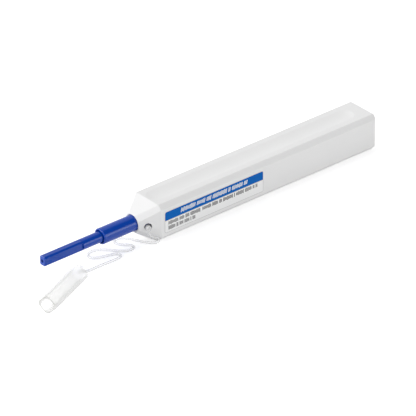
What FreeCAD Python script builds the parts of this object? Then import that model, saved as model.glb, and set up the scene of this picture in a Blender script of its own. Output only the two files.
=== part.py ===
import FreeCAD, Part
import math
import os

from FreeCAD import Vector

# One-click cleaning pen for 1.25 mm fibre ferrules, lying on its flat side with its cap pulled off.
# Millimetres. X runs along the pen with the cleaning tip towards -X, +Z is up, and the origin is
# on the table under the middle of the pen. The label is on the -Y side.

os.makedirs("parts", exist_ok=True)

# ---- Case: upper shell, bottom cover and label -------------------------------------------------
case_width = 18.0
case_height = 17.5
case_length = 119.4
nose_length = 8.1
nose_end_width = 8.2
nose_end_chamfer = 2.05
wall = 1.6
top_chamfer = 1.9
base_chamfer = 2.8
edge_round = 0.35
rear_corner_round = 1.3
roof_thickness = 2.3
axis_rise = 0.25

recess_width = 8.2
recess_depth = 0.5
recess_front_gap = 0.5
recess_rear_gap = 6.0

cover_front_gap = 4.0
cover_tongue_length = 2.0
cover_tongue_width = 9.0
hook_length = 5.0
hook_thickness = 1.1
hook_height = 3.4
hook_rear_gap = 2.0
barb_depth = 0.35
barb_height = 0.8
shell_clearance = 0.1

label_front_gap = 1.85
label_length = 53.7
label_top_gap = 1.5
label_low = 4.15
label_thickness = 0.08
label_corner = 0.9

# ---- Fits and clearances --------------------------------------------------------------------------
running_fit = 0.05
side_clearance = 0.5
floor_clearance = 0.2
roof_clearance = 0.3
end_gap = 0.1

# ---- Sleeve and nozzle ----------------------------------------------------------------------------
sleeve_diameter = 7.0
sleeve_show = 17.4
sleeve_lip_length = 1.5
sleeve_rim_round = 0.55
sleeve_flange_roof_gap = 1.0
sleeve_flange_thickness = 1.6
sleeve_seat_gap = 2.3
sleeve_wall = 0.55
nose_relief_width = 0.25
nose_relief_depth = 0.6

nozzle_diameter = 4.8
nozzle_show = 30.1
nozzle_flat_length = 20.0
nozzle_side_flat = 3.5
nozzle_top_flat = 4.4
nozzle_mouth_diameter = 1.5
nozzle_mouth_length = 1.2
nozzle_rod_bore = 2.1
nozzle_rod_bore_end = 27.5
nozzle_tail_diameter = 4.0
nozzle_tail_length = 4.0
nozzle_tail_bore = 3.4
nozzle_tip_round = 0.3
collar_length = 1.5

# ---- Travels --------------------------------------------------------------------------------------
push_travel = 12.0
nozzle_travel = 6.0
tip_travel = 1.0
turn_lead = 24.0

# ---- Spindle and cleaning tip ---------------------------------------------------------------------
shaft_diameter = 3.1
shaft_front_inset = 3.9
drum_diameter = 5.6
drum_length = 17.8
drum_gap = 2.0
groove_depth = 1.0
groove_width = 1.25
groove_overrun = 0.9
cam_pin_diameter = 1.0
cam_boss_diameter = 4.4
cam_boss_gap = 0.5
cam_rear_inset = 2.4
thread_bore = 1.1
rod_diameter = 1.8
rod_socket = 5.0
rod_end_back = 8.0
rod_bore = 1.2
rod_bore_length = 9.0

tip_diameter = 1.25
tip_inset = 0.9
tip_stem_diameter = 1.1
tip_stem_length = 5.0
tip_flat = 1.02
loop_width = 0.6
loop_thickness = 0.08
loop_length = 4.5

# ---- Reel frame, reels and drive ------------------------------------------------------------------
frame_plate = 2.0
frame_web = 1.2
frame_rail = 0.7
drum_side_gap = 0.3
bearing_plate = 2.0
reel_hub_diameter = 4.0
reel_flange = 0.8
reel_gap = 0.2
reel_rail_gap = 0.3
reel_spacing = 26.0
supply_rear_room = 11.0
axle_diameter = 1.5
used_thread_depth = 1.0
fresh_thread_margin = 0.6
ratchet_teeth = 16
ratchet_tooth = 0.6
ratchet_rim_gap = 0.1

gear_teeth = 12
gear_addendum_modules = 0.75
rack_addendum_modules = 0.6
gear_backlash = 0.12
gear_root_gap = 0.15
gear_side_gap = 0.3
rack_back = 0.65
gear_hub_diameter = 3.6
pressure_angle = math.radians(20.0)

boss_diameter = 2.2
screw_diameter = 1.0
screw_head_diameter = 1.9
screw_head_height = 0.5
screw_length = 4.5
guide_pin_diameter = 1.2
guide_pin_drop = 1.6
leaf_thickness = 0.3
click_leaf_length = 14.0
strand_diameter = 0.3

return_wire = 0.8
return_diameter = 5.8
return_turns = 9
return_space = 24.0
post_diameter = 4.0
post_length = 8.0
frame_post_length = 3.0
nozzle_wire = 0.4
nozzle_spring_turns = 8
tip_wire = 0.25
tip_spring_turns = 6

# ---- Tether and cap -------------------------------------------------------------------------------
tether_hole_diameter = 3.3
tether_hole_back = 3.4
tether_hole_drop = 0.5
knot_diameter = 2.5
knot_stem_diameter = 2.3
knot_proud = 0.55
cord_diameter = 1.1

cap_length = 28.0
cap_width = 6.7
cap_chamfer = 1.3
cap_bore = 5.0
cap_mouth_bore = 5.5
cap_mouth_length = 11.5
cap_end_wall = 1.6
cap_yaw = 23.3
cap_rear_x = -76.5
cap_rear_y = -10.2

# ---- Stations along the pen -----------------------------------------------------------------------
pen_length = nozzle_show + sleeve_show + nose_length + case_length
rear_x = pen_length / 2
case_front_x = rear_x - case_length
nose_front_x = case_front_x - nose_length
sleeve_front_x = nose_front_x - sleeve_show
tip_x = -pen_length / 2
half_width = case_width / 2
axis_height = case_height / 2 + axis_rise
cavity_front_x = case_front_x + wall
cavity_rear_x = rear_x - wall
cavity_half = half_width - wall
cavity_roof = case_height - roof_thickness
cover_front_x = case_front_x + cover_front_gap

sleeve_radius = sleeve_diameter / 2
nozzle_radius = nozzle_diameter / 2
flange_front_x = cavity_front_x + end_gap
frame_front_x = flange_front_x + sleeve_flange_thickness
frame_rear_x = cavity_rear_x - return_space
frame_half = cavity_half - side_clearance
frame_low = base_chamfer + floor_clearance
frame_high = cavity_roof - roof_clearance
web_inner_y = drum_diameter / 2 + drum_side_gap
web_outer_y = web_inner_y + frame_web
lid_inner_y = -frame_half + frame_web
reel_low_y = lid_inner_y + reel_gap
reel_high_y = web_inner_y - reel_gap
drum_front_x = frame_front_x + frame_plate + drum_gap
drum_rear_x = drum_front_x + drum_length
bearing_x = drum_rear_x + end_gap
reel_room_x = bearing_x + bearing_plate
reel_diameter = 2 * (frame_high - frame_rail - reel_rail_gap - axis_height)
used_thread_diameter = reel_hub_diameter + 2 * used_thread_depth
fresh_thread_diameter = reel_diameter - 2 * fresh_thread_margin
ratchet_diameter = reel_diameter - 2 * (ratchet_tooth + ratchet_rim_gap)
supply_x = frame_rear_x - frame_plate - supply_rear_room - reel_diameter / 2
takeup_x = supply_x - reel_spacing
collar_front_x = sleeve_front_x + sleeve_lip_length + end_gap
collar_rear_x = collar_front_x + collar_length
sleeve_seat_x = collar_rear_x + nozzle_tail_length + nozzle_travel + sleeve_seat_gap
shaft_front_x = sleeve_front_x + shaft_front_inset
sleeve_bore_radius = sleeve_radius - sleeve_wall
cam_x = drum_rear_x - cam_rear_inset
rack_root = cavity_roof - rack_back
gear_outer_radius = rack_root - gear_root_gap - axis_height
gear_module = gear_outer_radius / (gear_teeth / 2 + gear_addendum_modules)
rack_addendum = gear_module * rack_addendum_modules
pitch_radius = gear_module * gear_teeth / 2
pitch_line = axis_height + pitch_radius
gear_low_y = web_outer_y + reel_gap + end_gap
gear_high_y = frame_half - gear_side_gap


def box(x0, x1, y0, y1, z0, z1):
    """A block between two corners."""
    return Part.makeBox(x1 - x0, y1 - y0, z1 - z0, Vector(x0, y0, z0))


def rod_x(diameter, x0, x1, y=0.0, z=axis_height):
    """A round bar along the pen."""
    return Part.makeCylinder(diameter / 2, x1 - x0, Vector(x0, y, z), Vector(1, 0, 0))


def rod_y(diameter, y0, y1, x, z=axis_height):
    """A round bar across the pen."""
    return Part.makeCylinder(diameter / 2, y1 - y0, Vector(x, y0, z), Vector(0, 1, 0))


def tube_x(outer, inner, x0, x1):
    """A round tube along the pen."""
    return rod_x(outer, x0, x1).cut(rod_x(inner, x0 - 1, x1 + 1))


def front_edges(shape, x):
    """The edges that lie wholly in the plane of one end."""
    return [edge for edge in shape.Edges if edge.BoundBox.XMax < x + 0.01]


def cut_corner_section(x, half, low, high, top_cut, base_cut):
    """The case's closed outline at one station: a rectangle with its four corners cut at 45 degrees."""
    corners = [
        (half, low + base_cut), (half, high - top_cut), (half - top_cut, high), (top_cut - half, high),
        (-half, high - top_cut), (-half, low + base_cut), (base_cut - half, low), (half - base_cut, low)]
    points = [Vector(x, y, z) for y, z in corners]
    return Part.makePolygon(points + points[:1])


def coil_spring(coil_diameter, wire_diameter, x0, x1, turns):
    """A coil spring along the pen's axis, its end turns just inside the two seats."""
    start = wire_diameter / 2
    height = x1 - x0 - wire_diameter
    radius = coil_diameter / 2
    helix = Part.makeHelix(height / turns, height, radius)
    rise = Vector(0, 2 * math.pi * radius, height / turns)
    section = Part.Wire([Part.Circle(Vector(radius, 0, 0), rise, wire_diameter / 2).toShape()])
    coil = Part.Wire(helix).makePipeShell([section], True, True)
    coil.rotate(Vector(0, 0, 0), Vector(0, 1, 0), 90)
    coil.translate(Vector(x0 + start, 0, axis_height))
    return coil


# ---- Case -----------------------------------------------------------------------------------------

def plan_outline():
    """A tall block with the case's outline seen from above, its two rear corners rounded."""
    block = box(nose_front_x, rear_x, -half_width, half_width, 0, case_height)
    corners = [
        edge for edge in block.Edges
        if edge.BoundBox.XMin > rear_x - 0.01 and edge.BoundBox.ZLength > case_height / 2]
    return block.makeFillet(rear_corner_round, corners)


def case_outside():
    """The whole case as one block: the long square body and the tapered nose, edges softened."""
    nose_half = nose_end_width / 2
    front = cut_corner_section(
        nose_front_x, nose_half, axis_height - nose_half, axis_height + nose_half,
        nose_end_chamfer, nose_end_chamfer)
    shoulder = cut_corner_section(case_front_x, half_width, 0, case_height, top_chamfer, base_chamfer)
    rear = cut_corner_section(rear_x, half_width, 0, case_height, top_chamfer, base_chamfer)
    body = Part.makeLoft([shoulder, rear], True, True)
    nose = Part.makeLoft([front, shoulder], True, True)
    block = body.fuse(nose).removeSplitter()
    block = block.common(plan_outline())
    return block.makeFillet(edge_round, block.Edges)


def top_recess():
    """The long shallow thumb recess in the top face, hollow across and round at both ends."""
    half = recess_width / 2
    radius = (half ** 2 + recess_depth ** 2) / (2 * recess_depth)
    centre_z = case_height - recess_depth + radius
    front = case_front_x + recess_front_gap + half
    rear = rear_x - recess_rear_gap - half
    slant = radius * math.sqrt(0.5)
    low_z = centre_z - radius
    outline = [
        Part.LineSegment(Vector(front, 0, low_z), Vector(rear, 0, low_z)),
        Part.Arc(
            Vector(rear, 0, low_z), Vector(rear + slant, 0, centre_z - slant),
            Vector(rear + radius, 0, centre_z)),
        Part.LineSegment(Vector(rear + radius, 0, centre_z), Vector(front - radius, 0, centre_z)),
        Part.Arc(
            Vector(front - radius, 0, centre_z), Vector(front - slant, 0, centre_z - slant),
            Vector(front, 0, low_z))]
    face = Part.Face(Part.Wire([edge.toShape() for edge in outline]))
    return face.revolve(Vector(0, 0, centre_z), Vector(1, 0, 0), 360)


def slope_normal():
    """Outward direction of the nose's sloping -Y side."""
    fall = half_width - nose_end_width / 2
    size = math.hypot(nose_length, fall)
    return Vector(-fall / size, -nose_length / size, 0)


def tether_hole_centre():
    """The point on the sloping side where the tether's hole opens."""
    x = nose_front_x + tether_hole_back
    fall = half_width - nose_end_width / 2
    y = -(nose_end_width / 2 + fall * tether_hole_back / nose_length)
    return Vector(x, y, axis_height - tether_hole_drop)


def roof_rack():
    """The straight rack under the roof that the pinion rolls along."""
    pitch = math.pi * gear_module
    low_y = gear_low_y - end_gap
    high_y = gear_high_y + end_gap
    count = int((push_travel + 2 * pitch_radius) / pitch) + 1
    first = takeup_x - pitch * math.ceil(pitch_radius / pitch)
    slope = math.tan(pressure_angle)
    tip_half = pitch / 4 - rack_addendum * slope
    root_half = pitch / 4 + (rack_root - pitch_line) * slope
    bar = box(first, first + (count + 1) * pitch, low_y, high_y, rack_root, cavity_roof + end_gap)
    teeth = []
    for number in range(count):
        middle = first + (number + 0.5) * pitch
        outline = [
            (middle - root_half, rack_root), (middle - tip_half, pitch_line - rack_addendum),
            (middle + tip_half, pitch_line - rack_addendum), (middle + root_half, rack_root)]
        points = [Vector(x, low_y, z) for x, z in outline]
        face = Part.Face(Part.makePolygon(points + points[:1]))
        teeth.append(face.extrude(Vector(0, high_y - low_y, 0)))
    return bar.fuse(teeth)


def hook(side, grow):
    """One snap hook of the bottom cover with its barb, or with grow above 0 the room it needs."""
    outer = cavity_half - shell_clearance
    x1 = cavity_rear_x - hook_rear_gap
    x0 = x1 - hook_length
    top = base_chamfer + hook_height
    tab = box(x0, x1, outer - hook_thickness, outer, base_chamfer - wall / 2, top)
    barb = box(
        x0 - grow, x1 + grow, outer, outer + shell_clearance + barb_depth + grow,
        top - barb_height - grow, top + grow)
    both = barb if grow > 0 else tab.fuse(barb)
    return both if side > 0 else both.mirror(Vector(0, 0, 0), Vector(0, 1, 0))


def cover_tongue(grow):
    """The tongue at the bottom cover's front end, or with grow above 0 the slot it slides into."""
    half = cover_tongue_width / 2 + grow
    rear = cover_front_x + wall if grow == 0 else cover_front_x
    return box(
        cover_front_x - cover_tongue_length - grow, rear, -half, half,
        wall / 2 - grow, wall + grow)


def upper_shell(block):
    """Roof, side walls, rear wall and the solid nose, moulded as one piece."""
    shell = block.cut(box(
        cavity_front_x, cavity_rear_x, -cavity_half, cavity_half, base_chamfer, cavity_roof))
    shell = shell.cut(box(cover_front_x, rear_x + 1, -half_width, half_width, -1, base_chamfer))
    shell = shell.cut(top_recess())
    shell = shell.cut(rod_x(sleeve_diameter + 2 * running_fit, nose_front_x - 1, cavity_front_x + 1))
    shell = shell.cut(rod_x(
        sleeve_diameter + 2 * nose_relief_width, nose_front_x - 1, nose_front_x + nose_relief_depth))
    normal = slope_normal()
    centre = tether_hole_centre()
    depth = (half_width + nose_end_width / 2) / 2
    shell = shell.cut(Part.makeCylinder(
        tether_hole_diameter / 2, depth + 2, centre + normal * 2, normal * -1))
    shell = shell.fuse(roof_rack())
    boss_low = axis_height + drum_diameter / 2 + cam_boss_gap
    shell = shell.fuse(Part.makeCylinder(
        cam_boss_diameter / 2, cavity_roof - boss_low + end_gap, Vector(cam_x, 0, boss_low)))
    shell = shell.cut(Part.makeCylinder(
        cam_pin_diameter / 2, cavity_roof - boss_low, Vector(cam_x, 0, boss_low)))
    shell = shell.fuse(rod_x(post_diameter, cavity_rear_x - post_length, cavity_rear_x + end_gap))
    shell = shell.cut(cover_tongue(shell_clearance))
    for side in (-1, 1):
        shell = shell.cut(hook(side, shell_clearance))
    return shell


def bottom_cover(block):
    """The flat underside with its two sloping edges, a tongue in front and two snap hooks behind."""
    floor_half = half_width - base_chamfer
    cover = block.common(box(cover_front_x, rear_x + 1, -half_width, half_width, -1, base_chamfer))
    cover = cover.cut(box(
        cover_front_x + wall, cavity_rear_x, -floor_half, floor_half, wall, base_chamfer + 1))
    cover = cover.fuse(cover_tongue(0))
    for side in (-1, 1):
        cover = cover.fuse(hook(side, 0))
    return cover


def cover_label():
    """A thin printed sticker with round corners on the -Y side."""
    x0 = case_front_x + label_front_gap
    plate = box(
        x0, x0 + label_length, -half_width - label_thickness, -half_width,
        label_low, case_height - top_chamfer - label_top_gap)
    corners = [edge for edge in plate.Edges if abs(edge.tangentAt(edge.FirstParameter).y) > 0.9]
    return plate.makeFillet(label_corner, corners)


def cam_pin():
    """The steel pin in the roof that rides in the drum's helical groove."""
    top = cavity_roof
    low = axis_height + drum_diameter / 2 - groove_depth + end_gap
    return Part.makeCylinder(cam_pin_diameter / 2, top - low, Vector(cam_x, 0, low))


# ---- Sleeve and nozzle ------------------------------------------------------------------------------

def nozzle_sleeve():
    """The blue sleeve that slides out of the nose, with a flange behind the nose as its stop."""
    body = rod_x(sleeve_diameter, sleeve_front_x, frame_front_x)
    body = body.makeFillet(sleeve_rim_round, front_edges(body, sleeve_front_x))
    flange_diameter = 2 * (cavity_roof - sleeve_flange_roof_gap - axis_height)
    body = body.fuse(rod_x(flange_diameter, flange_front_x, frame_front_x))
    lip_rear = sleeve_front_x + sleeve_lip_length
    body = body.cut(rod_x(nozzle_diameter + 2 * running_fit, sleeve_front_x - 1, lip_rear + 1))
    body = body.cut(Part.makeCone(
        nozzle_radius + 0.55, nozzle_radius + running_fit, 0.8,
        Vector(sleeve_front_x, 0, axis_height), Vector(1, 0, 0)))
    body = body.cut(rod_x(2 * sleeve_bore_radius, lip_rear, sleeve_seat_x))
    return body.cut(rod_x(shaft_diameter + 0.4, sleeve_seat_x - 1, frame_front_x + 1))


def nozzle_tube():
    """The thin nozzle: flats near its mouth, a round stretch, a collar and a spring tail."""
    body = rod_x(nozzle_diameter, tip_x, collar_rear_x)
    body = body.makeChamfer(nozzle_tip_round, front_edges(body, tip_x))
    flat_end = tip_x + nozzle_flat_length
    flats = box(
        tip_x, flat_end, -nozzle_side_flat / 2, nozzle_side_flat / 2,
        axis_height - nozzle_top_flat / 2, axis_height + nozzle_top_flat / 2)
    flats = flats.makeChamfer(nozzle_tip_round, front_edges(flats, tip_x))
    round_stretch = box(
        flat_end, collar_rear_x, -nozzle_radius, nozzle_radius,
        axis_height - nozzle_radius, axis_height + nozzle_radius)
    body = body.common(flats.fuse(round_stretch))
    collar = rod_x(2 * (sleeve_bore_radius - running_fit), collar_front_x, collar_rear_x)
    tail_rear = collar_rear_x + nozzle_tail_length
    body = body.fuse([collar, rod_x(nozzle_tail_diameter, collar_rear_x, tail_rear)])
    bore_end = tip_x + nozzle_rod_bore_end
    body = body.cut(rod_x(nozzle_mouth_diameter, tip_x - 1, tip_x + nozzle_mouth_length + 1))
    body = body.cut(rod_x(nozzle_rod_bore, tip_x + nozzle_mouth_length, bore_end))
    return body.cut(rod_x(nozzle_tail_bore, bore_end, tail_rear + 1))


def nozzle_spring():
    """Pushes the nozzle forward; it sits round the nozzle's tail, in the wide bore of the sleeve."""
    coil = (nozzle_tail_diameter + 2 * sleeve_bore_radius) / 2
    return coil_spring(coil, nozzle_wire, collar_rear_x, sleeve_seat_x, nozzle_spring_turns)


# ---- Spindle and cleaning tip -------------------------------------------------------------------------

def cam_groove():
    """The right-handed helical groove that turns the drum as it passes the cam pin."""
    radius = drum_diameter / 2
    height = push_travel + 2 * groove_overrun
    start_angle = 180 - 360 * (height - groove_overrun) / turn_lead
    along = Vector(0, 2 * math.pi * radius, turn_lead).normalize()
    across = Vector(1, 0, 0).cross(along) * (groove_width / 2)
    floor = Vector(radius - groove_depth, 0, 0)
    above = Vector(radius + groove_depth, 0, 0)
    corners = [floor - across, above - across, above + across, floor + across]
    section = Part.makePolygon(corners + corners[:1])
    helix = Part.Wire(Part.makeHelix(turn_lead, height, radius))
    cutter = helix.makePipeShell([section], True, True)
    cutter.rotate(Vector(0, 0, 0), Vector(0, 0, 1), start_angle)
    cutter.rotate(Vector(0, 0, 0), Vector(0, 1, 0), 90)
    cutter.translate(Vector(cam_x + groove_overrun - height, 0, axis_height))
    return cutter


def spindle_drum():
    """The drum with its helical groove, long front shaft and rear journal, bored for the thread."""
    body = rod_x(drum_diameter, drum_front_x, drum_rear_x)
    body = body.fuse(rod_x(shaft_diameter, shaft_front_x, reel_room_x))
    body = body.cut(cam_groove())
    body = body.cut(rod_x(thread_bore, shaft_front_x - 1, reel_room_x + 1))
    return body.cut(rod_x(rod_diameter, shaft_front_x - 1, shaft_front_x + rod_socket))


def tip_rod():
    """The steel rod that carries the cleaning tip down the nozzle."""
    front = tip_x + rod_end_back
    rear = shaft_front_x + rod_socket
    body = rod_x(rod_diameter, front, rear)
    body = body.cut(rod_x(rod_bore, front - 1, front + rod_bore_length))
    return body.cut(rod_x(rod_bore / 2, front, rear + 1))


def cleaning_tip():
    """The 1.25 mm wide tip: flats on two sides for the thread, and a stem that floats in the rod."""
    front = tip_x + tip_inset
    rear = tip_x + rod_end_back - tip_travel - end_gap
    body = rod_x(tip_diameter, front, rear)
    radius = tip_diameter / 2
    body = body.common(box(
        front, rear, -radius, radius, axis_height - tip_flat / 2, axis_height + tip_flat / 2))
    return body.fuse(rod_x(tip_stem_diameter, rear, rear + tip_stem_length + tip_travel))


def cleaning_loop():
    """The cleaning thread where it turns back over the end of the tip."""
    front = tip_x + tip_inset
    outer = tip_flat / 2 + loop_thickness
    half = loop_width / 2
    body = box(
        front - loop_thickness, front + loop_length, -half, half,
        axis_height - outer, axis_height + outer)
    return body.cut(box(
        front, front + loop_length + 1, -1, 1, axis_height - tip_flat / 2, axis_height + tip_flat / 2))


def tip_spring():
    """Lets the tip float back in the rod."""
    front = tip_x + rod_end_back - end_gap + tip_stem_length
    rear = tip_x + rod_end_back + rod_bore_length
    return coil_spring(rod_bore - 2 * tip_wire, tip_wire, front, rear, tip_spring_turns)


# ---- Reel frame -----------------------------------------------------------------------------------------

def screw_places():
    """The three frame screws, clear of the reels and of the thread."""
    low = frame_low + frame_rail + boss_diameter / 4
    between = (takeup_x + supply_x) / 2
    after = supply_x + reel_diameter / 2 + boss_diameter / 2 + reel_gap
    return [(reel_room_x + boss_diameter, low), (between, axis_height), (after, axis_height)]


def reel_frame():
    """The sliding frame: end plates, a side web, rails, a bearing plate and the screw bosses."""
    plate = [
        box(frame_front_x, frame_front_x + frame_plate, -frame_half, frame_half, frame_low, frame_high),
        box(frame_rear_x - frame_plate, frame_rear_x, -frame_half, frame_half, frame_low, frame_high),
        box(bearing_x, reel_room_x, lid_inner_y, web_inner_y, frame_low, frame_high),
        box(frame_front_x, frame_rear_x, lid_inner_y, web_inner_y, frame_low, frame_low + frame_rail),
        box(bearing_x, frame_rear_x, lid_inner_y, web_inner_y, frame_high - frame_rail, frame_high)]
    frame = box(frame_front_x, frame_rear_x, web_inner_y, web_outer_y, frame_low, frame_high)
    frame = frame.fuse(plate)
    frame = frame.fuse(rod_x(post_diameter, frame_rear_x - 1, frame_rear_x + frame_post_length))
    for x, z in screw_places():
        frame = frame.fuse(rod_y(boss_diameter, lid_inner_y, web_inner_y + 0.5, x, z))
    for x, z in screw_places():
        frame = frame.cut(rod_y(screw_diameter, lid_inner_y - 1, lid_inner_y + screw_length, x, z))
    frame = frame.cut(rod_x(bush_diameter(), frame_front_x - 1, frame_front_x + frame_plate + 1))
    frame = frame.cut(rod_x(shaft_diameter + 2 * running_fit, bearing_x - 1, reel_room_x + 1))
    hub_hole = gear_hub_diameter + 2 * running_fit
    frame = frame.cut(rod_y(hub_hole, web_inner_y - 1, web_outer_y + 1, takeup_x))
    frame = frame.cut(rod_y(axle_diameter, web_inner_y - 1, web_outer_y + 1, supply_x))
    for x, z in guide_pin_places():
        frame = frame.cut(rod_y(guide_pin_diameter, web_inner_y - 1, web_outer_y, x, z))
    return frame


def frame_cover():
    """The lid on the frame's open side, held by three screws."""
    lid = box(
        frame_front_x + frame_plate, frame_rear_x - frame_plate, -frame_half, lid_inner_y,
        frame_low, frame_high)
    for x, z in screw_places():
        lid = lid.cut(rod_y(screw_diameter, -frame_half - 1, lid_inner_y + 1, x, z))
        lid = lid.cut(rod_y(screw_head_diameter, -frame_half - 1, screw_seat_y(), x, z))
    for x in (takeup_x, supply_x):
        lid = lid.cut(rod_y(axle_diameter, -frame_half - 1, lid_inner_y + 1, x))
    return lid


def screw_seat_y():
    """Depth at which the screw heads sit, just below the lid's face."""
    return -frame_half + screw_head_height + end_gap


def frame_screws():
    """Three small screws that hold the lid to the bosses."""
    screws = []
    for x, z in screw_places():
        seat = screw_seat_y()
        head = rod_y(screw_head_diameter, seat - screw_head_height, seat, x, z)
        slot = box(x - 1, x + 1, seat - 1, seat - screw_head_height / 2, z - 0.15, z + 0.15)
        shank = rod_y(screw_diameter, seat, lid_inner_y + screw_length, x, z)
        screws.append(head.cut(slot).fuse(shank))
    return Part.makeCompound(screws)


def bush_diameter():
    """Outside diameter of the front bush."""
    return shaft_diameter + 2.2


def front_bush():
    """The bush that the spindle's front shaft turns in."""
    return tube_x(
        bush_diameter(), shaft_diameter + 2 * running_fit, frame_front_x, frame_front_x + frame_plate)


def takeup_axle():
    """Steel axle of the take-up reel; it reaches through the web to carry the pinion."""
    return rod_y(axle_diameter, -frame_half, gear_high_y + 2 * end_gap, takeup_x)


def axle_clip():
    """The clip that keeps the pinion on its axle."""
    inner = gear_high_y + end_gap
    ring = rod_y(axle_diameter + 1.2, inner, inner + 0.35, takeup_x)
    return ring.cut(takeup_axle())


def supply_axle():
    """Steel axle of the supply reel, fixed in the lid and in the web."""
    return rod_y(axle_diameter, -frame_half, web_outer_y, supply_x)


def guide_pin_places():
    """Two pins just behind the spindle, one for each run of thread."""
    x = reel_room_x + guide_pin_diameter + 1
    return [(x, axis_height - guide_pin_drop), (x, axis_height + used_thread_diameter / 2 + reel_gap)]


def thread_guide_pins():
    """The two steel pins that lead the thread into and out of the spindle."""
    return Part.makeCompound([
        rod_y(guide_pin_diameter, lid_inner_y, web_outer_y, x, z) for x, z in guide_pin_places()])


def straight_thread(start, end):
    """One straight run of thread."""
    return Part.makeCylinder(strand_diameter / 2, (end - start).Length, start, end - start)


def thread_strands():
    """Used thread runs to the bottom of its reel; fresh thread comes off the top of the other one."""
    step = (guide_pin_diameter + strand_diameter) / 2 + running_fit
    low, high = guide_pin_places()
    mouth = reel_room_x + end_gap
    used_low = axis_height - used_thread_diameter / 2 - strand_diameter / 2 - end_gap
    fresh_top = axis_height + fresh_thread_diameter / 2 + strand_diameter / 2 + end_gap
    runs = [
        (Vector(mouth, 0, axis_height - strand_diameter), Vector(low[0], 0, low[1] + step)),
        (Vector(low[0], 0, low[1] + step), Vector(takeup_x, 0, used_low)),
        (Vector(mouth, 0, axis_height + strand_diameter), Vector(high[0] - step, 0, high[1])),
        (Vector(high[0], 0, high[1] + step), Vector(supply_x, 0, fresh_top))]
    return Part.makeCompound([straight_thread(start, end) for start, end in runs])


def click_leaf():
    """The leaf on the lid's outside that gives the click at the end of the push."""
    front = takeup_x + reel_hub_diameter
    outer_y = -frame_half - leaf_thickness - end_gap
    arm = box(
        front, front + click_leaf_length, outer_y, outer_y + leaf_thickness,
        axis_height - 1, axis_height + 1)
    return arm.fuse(box(front, front + 1, outer_y, -frame_half, axis_height - 1, axis_height + 1))


def ratchet_pawl():
    """The pawl that lets the take-up reel turn one way only, drawn lifted just clear of the teeth."""
    reach = ratchet_diameter / 2 + ratchet_tooth + end_gap
    root_x = (takeup_x + supply_x) / 2 - boss_diameter / 2
    return box(
        takeup_x + reach, root_x, lid_inner_y, lid_inner_y + reel_flange,
        axis_height - leaf_thickness, axis_height + leaf_thickness)


def brake_leaf():
    """The leaf that keeps the supply reel from running on."""
    root_x = (takeup_x + supply_x) / 2 + boss_diameter / 2
    return box(
        root_x, supply_x - reel_diameter / 2 - end_gap, lid_inner_y, lid_inner_y + reel_flange,
        axis_height - 1, axis_height + 1)


# ---- Reels and drive --------------------------------------------------------------------------------------

def reel(x, low_y):
    """A plastic spool: two flanges on a hub, bored for its axle."""
    body = rod_y(reel_hub_diameter, low_y, reel_high_y, x)
    body = body.fuse([
        rod_y(reel_diameter, low_y, low_y + reel_flange, x),
        rod_y(reel_diameter, reel_high_y - reel_flange, reel_high_y, x)])
    return body.cut(rod_y(axle_diameter + 2 * running_fit, low_y - 2, reel_high_y + 1, x))


def ratchet_wheel():
    """The saw-toothed wheel on the take-up reel's outer face."""
    points = []
    for number in range(ratchet_teeth):
        angle = 2 * math.pi * number / ratchet_teeth
        for radius in (ratchet_diameter / 2, ratchet_diameter / 2 + ratchet_tooth):
            x = takeup_x + radius * math.cos(angle)
            z = axis_height + radius * math.sin(angle)
            points.append(Vector(x, reel_low_y, z))
    face = Part.Face(Part.makePolygon(points + points[:1]))
    wheel = face.extrude(Vector(0, reel_flange, 0))
    return wheel.cut(rod_y(axle_diameter + 2 * running_fit, reel_low_y - 1, reel_high_y, takeup_x))


def takeup_reel():
    """The reel that winds up the used thread, with its ratchet wheel."""
    return reel(takeup_x, reel_low_y + reel_flange).fuse(ratchet_wheel())


def wound_thread(x, low_y, diameter):
    """The turns of thread on a reel, as one ring between its flanges."""
    low = low_y + reel_flange
    high = reel_high_y - reel_flange
    return rod_y(diameter, low, high, x).cut(rod_y(reel_hub_diameter, low - 1, high + 1, x))


def drive_pinion():
    """The pinion on the roof rack, with the hub that drives the take-up reel through the web."""
    base_radius = pitch_radius * math.cos(pressure_angle)
    outer_radius = gear_outer_radius
    root_radius = pitch_radius - rack_addendum - gear_root_gap
    half_at_pitch = (math.pi * gear_module / 2 - gear_backlash) / (2 * pitch_radius)
    involute_at_pitch = math.tan(pressure_angle) - pressure_angle
    steps = 4
    flank = [(root_radius, half_at_pitch + involute_at_pitch)]
    for step in range(steps + 1):
        radius = base_radius + (outer_radius - base_radius) * step / steps
        slant = math.acos(base_radius / radius)
        flank.append((radius, half_at_pitch + involute_at_pitch - math.tan(slant) + slant))
    points = []
    for tooth in range(gear_teeth):
        middle = 2 * math.pi * tooth / gear_teeth
        sides = [(radius, -half) for radius, half in flank] + list(reversed(flank))
        for radius, turn in sides:
            angle = middle + turn
            x = takeup_x + radius * math.sin(angle)
            z = axis_height + radius * math.cos(angle)
            points.append(Vector(x, gear_low_y, z))
    face = Part.Face(Part.makePolygon(points + points[:1]))
    gear = face.extrude(Vector(0, gear_high_y - gear_low_y, 0))
    gear = gear.fuse(rod_y(gear_hub_diameter, web_inner_y, gear_low_y + 0.5, takeup_x))
    bore = axle_diameter + 2 * running_fit
    return gear.cut(rod_y(bore, web_inner_y - 1, gear_high_y + 1, takeup_x))


# ---- Tether and cap -----------------------------------------------------------------------------------------

def knot_centre():
    """Middle of the knot, just outside the tether's hole and resting on its lower edge."""
    drop = (tether_hole_diameter - knot_stem_diameter) / 2
    return tether_hole_centre() + slope_normal() * knot_proud - Vector(0, 0, drop)


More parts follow.
